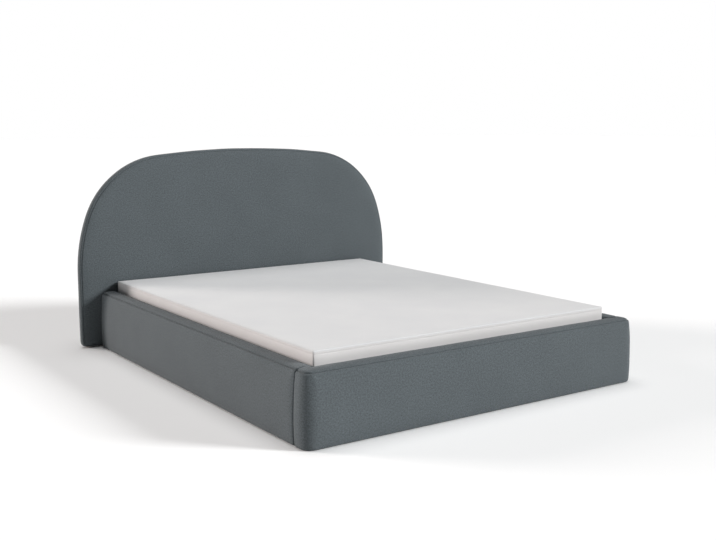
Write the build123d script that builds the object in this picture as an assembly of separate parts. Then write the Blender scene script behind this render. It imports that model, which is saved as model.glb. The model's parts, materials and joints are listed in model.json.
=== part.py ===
from build123d import *
import math
import os

# Upholstered storage bed, millimetres. X runs across the bed, Y from the foot to the head, Z up from the
# floor. The origin is on the floor, under the middle of the bed's overall box.

# Mattress
mattress_width = 1600
mattress_length = 2000
mattress_thickness = 140
mattress_base_height = 212
mattress_corner_radius = 8
mattress_edge_radius = 6
mattress_seam_inset = 15
mattress_seam_width = 3
mattress_seam_depth = 1.5

# Gaps left round the mattress
side_gap = 13
foot_gap = 20
head_gap = 14

# Upholstered rails: one section for the two sides and the foot
glide_height = 2
rail_depth = 95
rail_height = 302
rail_crown = 4
rail_belly_height = 110
rail_tuck = 3
rail_top_radius = 25
rail_bottom_radius = 6
rail_inner_radius = 10
rail_seam_angle = 48
rail_seam_radius = 2.5
rail_joint_radius = 8
rail_head_radius = 38
rail_head_top_radius = 24
foot_corner_radius = 54

# Boards inside the rails
cover_skin = 2
end_skin = 3
inner_board = 22
board_gap = 22
outer_board = 9
board_height = 275
block_width = 60
side_block_count = 6
foot_block_count = 5
foot_board_setback = 45

# Headboard
headboard_width = 2001
headboard_height = 1056
headboard_depth = 62
headboard_edge_radius = 26
headboard_back_radius = 24
headboard_corner_radius = 24
side_arc_radius = 900
side_arc_turn = 19.5
shoulder_radius = 498
crown_radius = 5000
headboard_board_inset = 30
headboard_foam = 26
headboard_board = 12
back_cover = 2
back_cover_inset = 27
stud_width = 60
stud_spacing = 1200
stud_drop = 157
cross_rail_width = 70
upper_rail_drop = 45
lower_rail_drop = 525

# Corner brackets, screws and bolts
plate_thickness = 3
bracket_leg = 42
bracket_height = 190
bracket_base = 75
bracket_fixing_inset = 30
fixing_share = 0.67
screw_radius = 2.5
screw_length = 20
screw_head_radius = 5
screw_head_height = 2
bolt_radius = 4
bolt_head_radius = 7
bolt_head_height = 3
headboard_bolt_length = 52

# Storage floor and the glides
batten_width = 22
batten_height = 17
centre_beam_width = 60
floor_thickness = 6
floor_clearance = 1
glide_radius = 12
side_glide_count = 4
foot_glide_spacing = 560
beam_glide_count = 3

# Ledges and pads that the closed platform rests on
ledge_leg = 40
ledge_drop = 30
ledge_clearance = 60
ledge_screw_count = 4
pad_length = 40
pad_width = 16
pad_height = 4
side_pad_count = 4
foot_pad_count = 3

# Platform frame and slats
tube_size = 30
tube_wall = 1.5
cap_plug = 18
cap_flange = 2
slat_rows = 14
slat_width = 60
slat_thickness = 8
slat_end_margin = 45
holder_wall = 2
holder_side = 3
holder_length = 46
holder_edge_gap = 3
slat_middle_gap = 14
stop_width = 90
stop_height = 98
stop_spacing = 800
strap_width = 42
strap_thickness = 3
strap_height = 118

# Lift: the pivot is set back from the mattress's head end and up from its underside, and the gas spring's
# two eyes are placed from the pivot. The lift angle is the one at which the foot end stands open.
pivot_setback = 210
pivot_rise = 68
pivot_radius = 6
pivot_shoulder_radius = 10
pivot_head_radius = 9
pivot_head_height = 1.4
running_clearance = 0.1
side_clearance = 0.3
arm_thickness = 4
arm_top_radius = 15
arm_foot = 140
arm_bolt_spacing = 90
nut_height = 6
hinge_plate_top_radius = 18
hinge_plate_foot_radius = 26
hinge_screw_offset = 11
hinge_screw_shares = (0.3, 0.72)

upper_eye_back = 163
upper_eye_drop = 134
lower_eye_ahead = 47
lower_eye_drop = 205
spring_inset = 12
cylinder_radius = 9
cylinder_wall = 2
cylinder_guide = 16
lower_eye_radius = 9
upper_eye_radius = 12
open_pivot_play = 3.4
eye_thickness = 9
rod_radius = 4
rod_bare = 9
piston_height = 10
piston_end_gap = 8
stud_radius = 4
stud_collar_radius = 7
stud_clip_radius = 10
stud_clip_height = 2
spring_bracket_length = 40
spring_bracket_flange = 24

# Places worked out from the sizes above
half_width = mattress_width / 2
overall_length = rail_depth + foot_gap + mattress_length + head_gap + headboard_depth
foot_face_y = -overall_length / 2
foot_inner_y = foot_face_y + rail_depth
mattress_foot_y = foot_inner_y + foot_gap
mattress_head_y = mattress_foot_y + mattress_length
headboard_front_y = mattress_head_y + head_gap
headboard_back_y = headboard_front_y + headboard_depth
rail_inner_x = half_width + side_gap
rail_outer_x = rail_inner_x + rail_depth
rail_bottom = glide_height
rail_top = rail_bottom + rail_height
rail_length = headboard_front_y - foot_inner_y
board_pack = inner_board + board_gap + outer_board
board_top = rail_bottom + board_height
mattress_top = mattress_base_height + mattress_thickness
holder_height = slat_thickness + 2 * holder_wall
tube_top = mattress_base_height - holder_height
tube_bottom = tube_top - tube_size
ledge_top = tube_bottom - pad_height
pivot_y = mattress_head_y - pivot_setback
pivot_z = mattress_base_height + pivot_rise
upper_eye = (pivot_y - upper_eye_back, pivot_z - upper_eye_drop)
lower_eye = (pivot_y + lower_eye_ahead, pivot_z - lower_eye_drop)
ledge_end_y = upper_eye[0] - ledge_clearance
spring_x = half_width - spring_inset
hinge_face_x = rail_inner_x - plate_thickness
board_x = rail_inner_x + cover_skin
centred_foot = (Align.CENTER, Align.CENTER, Align.MIN)


def block(low, high):
    """A rectangular solid between two corners."""
    sizes = [b - a for a, b in zip(low, high)]
    return Pos(*low) * Box(*sizes, align=Align.MIN)


def oblong(low, high):
    """A rectangular outline between two corners."""
    return Pos(*low) * Rectangle(high[0] - low[0], high[1] - low[1], align=Align.MIN)


def bar(point, direction, radius, length):
    """A round bar that starts at a point and runs along a direction."""
    return Plane(origin=point, z_dir=direction) * Cylinder(radius, length, align=centred_foot)


def plate_yz(outline, x, thickness):
    """A flat plate that stands along the bed: its outline is drawn in Y and Z, from x outwards."""
    return extrude(Plane.YZ.offset(x) * outline, thickness)


def spread(count, low, high):
    """Evenly spaced places from low to high."""
    step = (high - low) / max(count - 1, 1)
    return [low + step * i for i in range(count)]


def to_left(solid):
    """The same piece on the left side of the bed."""
    return mirror(solid, about=Plane.YZ)


def group(pieces):
    """Separate solids that share one node."""
    return Compound([s for piece in pieces for s in piece.solids()])


def screw(point, direction):
    """A pan-head screw: its head stands on the face at the point, its shank goes in along the direction."""
    back = [-c for c in direction]
    shank = bar(point, direction, screw_radius, screw_length)
    return shank + bar(point, back, screw_head_radius, screw_head_height)


def screw_shank(point, direction):
    return bar(point, direction, screw_radius, screw_length)


def bolt(point, direction, length):
    """A low-head bolt."""
    back = [-c for c in direction]
    return bar(point, direction, bolt_radius, length) + bar(point, back, bolt_head_radius, bolt_head_height)


# Upholstered rails

def rail_section():
    """Section of a padded rail: X is the distance out from the inner face, Y the height above the floor."""
    crown_base = rail_top - rail_crown
    radius = ((rail_belly_height - rail_bottom) ** 2 + rail_tuck ** 2) / (2 * rail_tuck)
    lean = radius - math.sqrt(radius ** 2 - (crown_base - rail_belly_height) ** 2)
    low = (rail_depth - rail_tuck, rail_bottom)
    high = (rail_depth - lean, crown_base)
    belly = ThreePointArc(low, (rail_depth, rail_belly_height), high)
    crown = ThreePointArc(high, (high[0] / 2, rail_top), (0, crown_base))
    face = make_face([Line((0, rail_bottom), low), belly, crown, Line((0, crown_base), (0, rail_bottom))])
    face = fillet(face.vertices().sort_by_distance(low)[:1], rail_bottom_radius)
    face = fillet(face.vertices().sort_by_distance(high)[:1], rail_top_radius)
    return fillet(face.vertices().sort_by_distance((0, crown_base))[:1], rail_inner_radius)


def seam_section():
    """The sewn line on the rail's top edge, as a small round groove in the section."""
    section = rail_section()
    arc = section.edges().filter_by(GeomType.CIRCLE).sort_by(lambda e: abs(e.radius - rail_top_radius))[0]
    turn = math.radians(rail_seam_angle)
    centre = arc.arc_center
    place = (centre.X + rail_top_radius * math.cos(turn), centre.Y + rail_top_radius * math.sin(turn))
    return Pos(*place) * Circle(rail_seam_radius)


def along_side(section):
    """The section run along the right side, from the headboard to the foot rail."""
    plane = Plane(origin=(rail_inner_x, headboard_front_y, 0), x_dir=(1, 0, 0), z_dir=(0, -1, 0))
    return extrude(plane * section, rail_length)


def round_foot(section, corner_section):
    """The section run across the foot and round its two corners, up to the joints with the side rails."""
    reach = rail_depth - foot_corner_radius
    centre_x = rail_outer_x - foot_corner_radius
    centre_y = foot_inner_y - reach
    plane = Plane(origin=(centre_x, foot_inner_y, 0), x_dir=(0, -1, 0), z_dir=(-1, 0, 0))
    run = extrude(plane * section, 2 * centre_x)
    axis = Axis((centre_x, centre_y, 0), (0, 0, 1))
    turn = revolve(plane * corner_section, axis, 90)
    side_plane = Plane(origin=(centre_x - reach, foot_inner_y, 0), x_dir=(1, 0, 0), z_dir=(0, -1, 0))
    side = extrude(side_plane * corner_section, reach)
    corner = turn + side
    return run + corner + to_left(corner)


def soften_joint(face):
    """Round the padded edges of an end face where a side rail meets the foot rail."""
    arcs = face.edges().filter_by(GeomType.CIRCLE)
    return fillet([e for e in arcs if abs(e.center().X) > rail_inner_x], rail_joint_radius)


def side_padding():
    """Foam and cover of the right rail, open underneath where the boards sit."""
    body = along_side(rail_section())
    body = soften_joint(body.faces().sort_by(Axis.Y)[0])
    plan = oblong((rail_inner_x, foot_inner_y), (rail_outer_x, headboard_front_y))
    corner = plan.vertices().sort_by_distance((rail_outer_x, headboard_front_y))[:1]
    body = body & extrude(fillet(corner, rail_head_radius), rail_top)
    side = oblong((foot_inner_y, rail_bottom), (headboard_front_y, rail_top))
    corner = side.vertices().sort_by_distance((headboard_front_y, rail_top))[:1]
    body = body & plate_yz(fillet(corner, rail_head_top_radius), rail_inner_x, rail_depth)
    body = body - along_side(seam_section())
    return body - block(
        (board_x, foot_inner_y + end_skin, rail_bottom),
        (board_x + board_pack, headboard_front_y - end_skin, board_top))


def foot_padding():
    """Foam and cover of the foot rail with its two rounded corners."""
    section = rail_section()
    reach = rail_depth - foot_corner_radius
    outer_part = section & oblong((reach, rail_bottom), (rail_depth, rail_top))
    body = round_foot(section, outer_part)
    body = soften_joint(body.faces().sort_by(Axis.Y)[-1])
    body = body - round_foot(seam_section(), seam_section())
    half = rail_outer_x - foot_board_setback
    return body - block(
        (-half, foot_inner_y - cover_skin - board_pack, rail_bottom),
        (half, foot_inner_y - cover_skin, board_top))


def side_boards():
    """Inner board, outer board and the blocks between them, in the right rail."""
    y0 = foot_inner_y + end_skin
    y1 = headboard_front_y - end_skin
    x1 = board_x + inner_board
    x2 = x1 + board_gap
    inner = block((board_x, y0, rail_bottom), (x1, y1, board_top))
    outer = block((x2, y0, rail_bottom), (x2 + outer_board, y1, board_top))
    blocks = [block((x1, y, rail_bottom), (x2, y + block_width, board_top))
              for y in spread(side_block_count, y0, y1 - block_width)]
    return inner, outer, group(blocks)


def foot_boards():
    """Inner board, outer board and the blocks between them, in the foot rail."""
    half = rail_outer_x - foot_board_setback
    y0 = foot_inner_y - cover_skin
    y1 = y0 - inner_board
    y2 = y1 - board_gap
    inner = block((-half, y1, rail_bottom), (half, y0, board_top))
    outer = block((-half, y2 - outer_board, rail_bottom), (half, y2, board_top))
    blocks = [block((x, y2, rail_bottom), (x + block_width, y1, board_top))
              for x in spread(foot_block_count, -half, half - block_width)]
    return inner, outer, group(blocks)


# Headboard

def headboard_outline(inset):
    """Arched face, drawn in by a margin: straight sides, a side arc, a tighter shoulder and a flat crown."""
    turn = math.radians(side_arc_turn)
    half = headboard_width / 2
    side_x = half - side_arc_radius
    shoulder_x = side_x + (side_arc_radius - shoulder_radius) * math.cos(turn)
    reach = crown_radius - shoulder_radius
    shoulder_z = headboard_height - crown_radius + math.sqrt(reach ** 2 - shoulder_x ** 2)
    side_z = shoulder_z - (side_arc_radius - shoulder_radius) * math.sin(turn)
    crown_turn = math.acos(shoulder_x / reach)

    def on_arc(x, z, radius, angle):
        return (x + (radius - inset) * math.cos(angle), z + (radius - inset) * math.sin(angle))

    side = [on_arc(side_x, side_z, side_arc_radius, a) for a in (0, turn / 2, turn)]
    shoulder_turns = (turn, (turn + crown_turn) / 2, crown_turn)
    shoulder = [on_arc(shoulder_x, shoulder_z, shoulder_radius, a) for a in shoulder_turns]
    base = (half - inset, rail_bottom)
    top = (0, headboard_height - inset)

    def flip(point):
        return (-point[0], point[1])

    lines = [Line(base, side[0]), ThreePointArc(*side), ThreePointArc(*shoulder),
             ThreePointArc(shoulder[2], top, flip(shoulder[2])),
             ThreePointArc(*[flip(p) for p in reversed(shoulder)]),
             ThreePointArc(*[flip(p) for p in reversed(side)]),
             Line(flip(side[0]), flip(base)), Line(flip(base), base)]
    return make_face(lines)


def headboard_slab(outline, front_y, thickness):
    """An outline given a thickness, from its front face back towards the wall."""
    plane = Plane(origin=(0, front_y + thickness, 0), x_dir=(1, 0, 0), z_dir=(0, -1, 0))
    return extrude(plane * outline, thickness)


def headboard_padding():
    """Foam and cover: rounded in front and at the back, with a pocket at the back for the wooden frame."""
    outline = headboard_outline(0)
    for side in (-1, 1):
        corner = outline.vertices().sort_by_distance((side * headboard_width / 2, rail_bottom))[:1]
        outline = fillet(corner, headboard_corner_radius)
    thickness = headboard_depth - back_cover
    body = headboard_slab(outline, headboard_front_y, thickness)
    body = fillet(body.faces().sort_by(Axis.Y)[0].edges(), headboard_edge_radius)
    body = fillet(body.faces().sort_by(Axis.Y)[-1].edges(), headboard_back_radius)
    pocket = headboard_outline(headboard_board_inset)
    return body - headboard_slab(pocket, headboard_front_y + headboard_foam, thickness)


def headboard_frame():
    """Plywood face, two studs that stand behind it and the cross rails between them."""
    board_y = headboard_front_y + headboard_foam
    board = headboard_slab(headboard_outline(headboard_board_inset), board_y, headboard_board)
    y0 = board_y + headboard_board
    y1 = headboard_back_y - back_cover
    x0 = stud_spacing / 2 - stud_width / 2
    stud_top = headboard_height - stud_drop
    stud = block((x0, y0, rail_bottom), (x0 + stud_width, y1, stud_top))
    rails = [block((-x0, y0, stud_top - drop - cross_rail_width), (x0, y1, stud_top - drop))
             for drop in (upper_rail_drop, lower_rail_drop)]
    return board, stud, group(rails)


def headboard_cover():
    """Thin cloth over the back."""
    return headboard_slab(headboard_outline(back_cover_inset), headboard_back_y - back_cover, back_cover)


# Corner brackets and what fixes the ironwork

def bracket(corner_y, outward):
    """Steel angle in the corner of the right rail and an end board, on the inside."""
    depth = plate_thickness * -outward
    z1 = bracket_base + bracket_height
    x0 = rail_inner_x - bracket_leg
    along = sorted((corner_y, corner_y - bracket_leg * outward))
    across = sorted((corner_y, corner_y + depth))
    return (block((hinge_face_x, along[0], bracket_base), (rail_inner_x, along[1], z1))
            + block((x0, across[0], bracket_base), (rail_inner_x, across[1], z1)))


def bracket_heights():
    return (bracket_base + bracket_fixing_inset, bracket_base + bracket_height - bracket_fixing_inset)


def side_screw_places():
    """Screws into the right rail: the two brackets, the ledge and the hinge plate."""
    inset = bracket_leg * fixing_share
    places = []
    for z in bracket_heights():
        places.append((hinge_face_x, headboard_front_y - inset, z))
        places.append((hinge_face_x, foot_inner_y + inset, z))
    for y in spread(ledge_screw_count, foot_inner_y + 2 * ledge_clearance, ledge_end_y - ledge_clearance):
        places.append((hinge_face_x, y, ledge_top - ledge_drop / 2))
    for share in hinge_screw_shares:
        for side in (-1, 1):
            y = pivot_y + (lower_eye[0] - pivot_y) * share + side * hinge_screw_offset
            places.append((hinge_face_x, y, pivot_z + (lower_eye[1] - pivot_z) * share))
    return places


def foot_screw_places():
    """Screws into the foot rail: the two brackets and the foot ledge."""
    face_y = foot_inner_y + plate_thickness
    inset = bracket_leg * fixing_share
    places = []
    for side in (-1, 1):
        for z in bracket_heights():
            places.append((side * (rail_inner_x - inset), face_y, z))
    span = half_width - 2 * ledge_clearance
    for x in spread(ledge_screw_count, -span, span):
        places.append((x, face_y, ledge_top - ledge_drop / 2))
    return places


def headboard_bolt_places():
    inset = bracket_leg * fixing_share
    return [(side * (rail_inner_x - inset), headboard_front_y - plate_thickness, z)
            for side in (-1, 1) for z in bracket_heights()]


# Storage floor

def floor_pieces():
    """Side battens, a centre beam and the two panels that lie on them."""
    y0 = foot_inner_y + floor_clearance
    y1 = headboard_front_y - floor_clearance
    top = rail_bottom + batten_height
    batten = block((rail_inner_x - batten_width, y0, rail_bottom), (rail_inner_x, y1, top))
    beam = block((-centre_beam_width / 2, y0, rail_bottom), (centre_beam_width / 2, y1, top))
    panel = block((floor_clearance / 2, y0, top), (rail_inner_x - floor_clearance, y1, top + floor_thickness))
    return batten, beam, panel


def glides():
    """Plastic glides under the rails, the headboard's studs and the centre beam."""
    side_x = board_x + inner_board / 2
    stud_front = headboard_front_y + headboard_foam + headboard_board
    stud_y = (stud_front + headboard_back_y - back_cover) / 2
    foot_y = foot_inner_y - cover_skin - inner_board / 2
    run = (foot_inner_y + ledge_clearance, headboard_front_y - ledge_clearance)
    places = [(side * side_x, y) for side in (-1, 1) for y in spread(side_glide_count, *run)]
    places += [(x, foot_y) for x in (-foot_glide_spacing, 0, foot_glide_spacing)]
    places += [(side * stud_spacing / 2, stud_y) for side in (-1, 1)]
    places += [(0, y) for y in spread(beam_glide_count, *run)]
    return group([bar((x, y, 0), (0, 0, 1), glide_radius, glide_height) for x, y in places])


# Ledges and pads

def side_ledge():
    y0 = foot_inner_y + ledge_clearance
    inner_x = rail_inner_x - ledge_leg
    shelf = block((inner_x, y0, ledge_top - plate_thickness), (rail_inner_x, ledge_end_y, ledge_top))
    return shelf + block((hinge_face_x, y0, ledge_top - ledge_drop), (rail_inner_x, ledge_end_y, ledge_top))


def foot_ledge():
    half = half_width - ledge_clearance
    y1 = foot_inner_y + ledge_leg
    shelf = block((-half, foot_inner_y, ledge_top - plate_thickness), (half, y1, ledge_top))
    face_y = foot_inner_y + plate_thickness
    return shelf + block((-half, foot_inner_y, ledge_top - ledge_drop), (half, face_y, ledge_top))


def pads():
    """Rubber pads under the frame's side and foot tubes."""
    side_x = half_width - tube_size / 2
    foot_y = mattress_foot_y + pad_width / 2
    places = []
    for y in spread(side_pad_count, foot_inner_y + 2 * ledge_clearance, ledge_end_y - pad_length):
        for side in (-1, 1):
            places.append(block(
                (side * side_x - pad_width / 2, y - pad_length / 2, ledge_top),
                (side * side_x + pad_width / 2, y + pad_length / 2, tube_bottom)))
    span = half_width / 2
    for x in spread(foot_pad_count, -span, span):
        places.append(block(
            (x - pad_length / 2, foot_y - pad_width / 2, ledge_top),
            (x + pad_length / 2, foot_y + pad_width / 2, tube_bottom)))
    return group(places)


# Lift: what stays on the base

def hinge_plate():
    """Steel plate on the inside of the right rail: it holds the pivot pin and the gas spring's lower stud."""
    a = hinge_plate_top_radius
    b = hinge_plate_foot_radius
    web = make_face(Polyline(
        (pivot_y - a, pivot_z), (pivot_y + a, pivot_z), (lower_eye[0] + b, lower_eye[1]),
        (lower_eye[0] - b, lower_eye[1]), close=True))
    outline = web + Pos(pivot_y, pivot_z) * Circle(a) + Pos(*lower_eye) * Circle(b)
    outline = outline - Pos(pivot_y, pivot_z) * Circle(pivot_radius) - Pos(*lower_eye) * Circle(stud_radius)
    return plate_yz(outline, hinge_face_x, plate_thickness)


def pivot_pin():
    """Shouldered rivet: seated in the hinge plate, running in the arm, its flat head let into the arm."""
    point = (rail_inner_x, pivot_y, pivot_z)
    inward = (-1, 0, 0)
    arm_face = half_width + arm_thickness + side_clearance
    shank = bar(point, inward, pivot_radius, side_gap - side_clearance)
    shoulder = bar((hinge_face_x, pivot_y, pivot_z), inward, pivot_shoulder_radius, hinge_face_x - arm_face)
    head_start = (half_width + side_clearance + pivot_head_height, pivot_y, pivot_z)
    return shank + shoulder + bar(head_start, inward, pivot_head_radius, pivot_head_height)


def lower_stud():
    """Stud for the gas spring's lower eye, with a collar and a clip."""
    point = (rail_inner_x, *lower_eye)
    inward = (-1, 0, 0)
    near = spring_x + eye_thickness / 2 + side_clearance
    far = spring_x - eye_thickness / 2 - side_clearance
    stud = bar(point, inward, stud_radius, rail_inner_x - far)
    collar = bar((hinge_face_x, *lower_eye), inward, stud_collar_radius, hinge_face_x - near)
    return stud + collar + bar((far, *lower_eye), inward, stud_collar_radius, stud_clip_height)


# Platform

def tube(low, high, along):
    """A square steel tube, open at both ends of the axis it runs along."""
    inner_low = [c if i == along else c + tube_wall for i, c in enumerate(low)]
    inner_high = [c if i == along else c - tube_wall for i, c in enumerate(high)]
    return block(low, high) - block(inner_low, inner_high)


def arm_bolt_places():
    z = tube_bottom + tube_size / 2
    return [(half_width + arm_thickness, pivot_y + side * arm_bolt_spacing / 2, z) for side in (-1, 1)]


def side_tube():
    """Right side tube between the head and foot tubes, drilled for the arm's bolts."""
    body = tube((half_width - tube_size, mattress_foot_y + tube_size, tube_bottom),
                (half_width, mattress_head_y - tube_size, tube_top), 1)
    length = tube_size + arm_thickness + nut_height
    return body - [bar(p, (-1, 0, 0), bolt_radius, length) for p in arm_bolt_places()]


def end_tube(y):
    return tube((-half_width, y, tube_bottom), (half_width, y + tube_size, tube_top), 0)


def centre_tube():
    return tube((-tube_size / 2, mattress_foot_y + tube_size, tube_bottom),
                (tube_size / 2, mattress_head_y - tube_size, tube_top), 1)


def cross_tube():
    y0 = (mattress_foot_y + mattress_head_y) / 2 - tube_size / 2
    return tube((tube_size / 2, y0, tube_bottom), (half_width - tube_size, y0 + tube_size, tube_top), 0)


def end_cap(y):
    """Plastic plug in the open end of a head or foot tube."""
    plug = block((half_width - cap_plug, y + tube_wall, tube_bottom + tube_wall),
                 (half_width, y + tube_size - tube_wall, tube_top - tube_wall))
    return plug + block((half_width, y, tube_bottom), (half_width + cap_flange, y + tube_size, tube_top))


def slat_places():
    y0 = mattress_foot_y + slat_end_margin
    y1 = mattress_head_y - slat_end_margin
    return spread(slat_rows, y0, y1)


def slat_box(y):
    """Right-hand slat of a row: its low and high corners."""
    z0 = tube_top + holder_wall
    outer = half_width - holder_edge_gap - holder_side
    return ((slat_middle_gap / 2, y - slat_width / 2, z0), (outer, y + slat_width / 2, z0 + slat_thickness))


def outer_holder(y):
    """Plastic holder on the side tube that grips the slat's outer end."""
    x1 = half_width - holder_edge_gap
    half = slat_width / 2 + holder_side
    body = block((x1 - holder_length, y - half, tube_top), (x1, y + half, mattress_base_height))
    return body - block(*slat_box(y))


def centre_holder(y):
    """Double holder on the centre tube, for the two inner slat ends of a row."""
    half = slat_width / 2 + holder_side
    body = block((-holder_length, y - half, tube_top), (holder_length, y + half, mattress_base_height))
    slat = block(*slat_box(y))
    return body - slat - to_left(slat)


def lift_arm():
    """Steel arm on the side tube that carries the platform on the pivot pin."""
    half = arm_foot / 2
    outline = make_face(Polyline(
        (pivot_y - arm_top_radius, pivot_z), (pivot_y + arm_top_radius, pivot_z), (pivot_y + half, tube_top),
        (pivot_y + half, tube_bottom), (pivot_y - half, tube_bottom), (pivot_y - half, tube_top), close=True))
    outline = outline + Pos(pivot_y, pivot_z) * Circle(arm_top_radius)
    body = plate_yz(outline, half_width, arm_thickness)
    point = (half_width, pivot_y, pivot_z)
    outward = (1, 0, 0)
    body = body - bar(point, outward, pivot_radius + running_clearance, arm_thickness)
    recess = pivot_head_height + 2 * side_clearance
    body = body - bar(point, outward, pivot_head_radius + side_clearance, recess)
    return body - [bar(p, (-1, 0, 0), bolt_radius, arm_thickness) for p in arm_bolt_places()]


def arm_bolt(place):
    """Bolt through the arm and the tube, with its nut on the inside."""
    inner_x = half_width - tube_size
    shank = bolt(place, (-1, 0, 0), tube_size + arm_thickness + nut_height)
    return shank + bar((inner_x, place[1], place[2]), (-1, 0, 0), bolt_head_radius, nut_height)


def spring_bracket():
    """Bracket under the right side tube, with the stud for the gas spring's upper eye."""
    y, z = upper_eye
    half = spring_bracket_length / 2
    near = spring_x - eye_thickness / 2 - side_clearance
    far = spring_x + eye_thickness / 2 + side_clearance
    web_x = spring_x - cylinder_radius - 2 * plate_thickness
    flange = block((web_x, y - half, tube_bottom - plate_thickness),
                   (web_x + spring_bracket_flange, y + half, tube_bottom))
    web = block((web_x, y - half, z), (web_x + plate_thickness, y + half, tube_bottom))
    boss = bar((web_x, y, z), (1, 0, 0), half, plate_thickness)
    stud = bar((web_x, y, z), (1, 0, 0), stud_radius, far - web_x)
    collar = bar((web_x, y, z), (1, 0, 0), stud_collar_radius, near - web_x)
    clip = bar((far, y, z), (1, 0, 0), stud_clip_radius, stud_clip_height)
    return flange + web + boss + stud + collar + clip


def mattress():
    """Mattress with rounded edges and the two sewn lines round its border."""
    low = (-half_width, mattress_foot_y, mattress_base_height)
    high = (half_width, mattress_head_y, mattress_top)
    body = block(low, high)
    body = fillet(body.edges().filter_by(Axis.Z), mattress_corner_radius)
    rims = body.faces().sort_by(Axis.Z)
    body = fillet(rims[0].edges() + rims[-1].edges(), mattress_edge_radius)
    for z in (mattress_base_height + mattress_seam_inset, mattress_top - mattress_seam_inset):
        d = mattress_seam_depth
        z0 = z - mattress_seam_width / 2
        z1 = z + mattress_seam_width / 2
        core = block((low[0] + d, low[1] + d, z0), (high[0] - d, high[1] - d, z1))
        core = fillet(core.edges().filter_by(Axis.Z), mattress_corner_radius - d)
        body = body - (block((low[0], low[1], z0), (high[0], high[1], z1)) - core)
    return body


def mattress_stop(side):
    """Steel tab on the head tube that keeps the mattress on the raised platform."""
    x = side * stop_spacing / 2
    return block((x - stop_width / 2, mattress_head_y, tube_bottom),
                 (x + stop_width / 2, mattress_head_y + plate_thickness, tube_bottom + stop_height))


def pull_strap():
    """Webbing loop at the foot, tucked down in the gap beside the foot rail."""
    return block((-strap_width / 2, mattress_foot_y - strap_thickness, tube_bottom),
                 (strap_width / 2, mattress_foot_y, tube_bottom + strap_height))


# Gas springs

def spring_plane():
    """A plane at the lower eye whose Z axis runs along the spring to the upper eye."""
    reach = (0, upper_eye[0] - lower_eye[0], upper_eye[1] - lower_eye[1])
    return Plane(origin=(spring_x, *lower_eye), x_dir=(1, 0, 0), z_dir=reach)


def eye(height, outer, hole):
    """A flat eye across the spring, with its hole along X."""
    ring = Cylinder(outer, eye_thickness) - Cylinder(hole, eye_thickness)
    return Pos(0, 0, height) * Rot(0, 90, 0) * ring


def spring_length():
    return math.dist(upper_eye, lower_eye)


def column(radius, start, end):
    return Pos(0, 0, start) * Cylinder(radius, end - start, align=centred_foot)


def spring_cylinder():
    """Pressure tube with its lower eye; the rod runs in the guide at its open end."""
    start = lower_eye_radius + plate_thickness
    end = spring_length() - upper_eye_radius - rod_bare
    body = column(cylinder_radius, start, end) + column(stud_radius, lower_eye_radius - side_clearance, start)
    bore = column(cylinder_radius - cylinder_wall, start + cylinder_wall, end - cylinder_guide)
    body = body - bore - column(rod_radius + running_clearance, start + cylinder_wall, end)
    return spring_plane() * (body + eye(0, lower_eye_radius, stud_radius + running_clearance))


def spring_rod():
    """Piston rod with its piston and the upper eye, whose hole has the play of the opened pivot."""
    end = spring_length()
    start = lower_eye_radius + plate_thickness + cylinder_wall + piston_end_gap
    body = column(rod_radius, start, end - upper_eye_radius + side_clearance)
    body = body + column(cylinder_radius - cylinder_wall - running_clearance, start, start + piston_height)
    return spring_plane() * (body + eye(end, upper_eye_radius, stud_radius + open_pivot_play))


# Assembly

outward = (1, 0, 0)
side_screws = side_screw_places()
foot_screws = foot_screw_places()
side_holes = [screw_shank(p, outward) for p in side_screws]
foot_holes = [screw_shank(p, (0, -1, 0)) for p in foot_screws]
headboard_holes = [bar(p, (0, 1, 0), bolt_radius, headboard_bolt_length) for p in headboard_bolt_places()]

inner, outer, blocks = side_boards()
foot_inner, foot_outer, foot_blocks = foot_boards()
board, stud, cross_rails = headboard_frame()
batten, beam, panel = floor_pieces()
rows = slat_places()
slats = [block(*slat_box(y)) for y in rows]
outer_holders = [outer_holder(y) for y in rows]
cross = cross_tube()
caps = [end_cap(mattress_foot_y), end_cap(mattress_head_y - tube_size)]
screws = [screw(p, outward) for p in side_screws]
end_screws = [screw(p, (0, -1, 0)) for p in foot_screws]
arm_bolts = [arm_bolt(p) for p in arm_bolt_places()]

right_pieces = {
    "rail_inner_board": inner - side_holes,
    "rail_outer_board": outer,
    "rail_blocks": blocks,
    "rail_padding": side_padding() - side_holes,
    "head_bracket": bracket(headboard_front_y, 1) - side_holes - headboard_holes,
    "foot_bracket": bracket(foot_inner_y, -1) - side_holes - foot_holes,
    "ledge": side_ledge() - side_holes,
    "hinge_plate": hinge_plate() - side_holes,
    "storage_floor": panel,
    "frame_side_tube": side_tube(),
    "slats": group(slats),
    "lift_arm": lift_arm(),
    "gas_spring_cylinder": spring_cylinder(),
    "gas_spring_rod": spring_rod(),
    "headboard_stud": stud,
}

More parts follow.
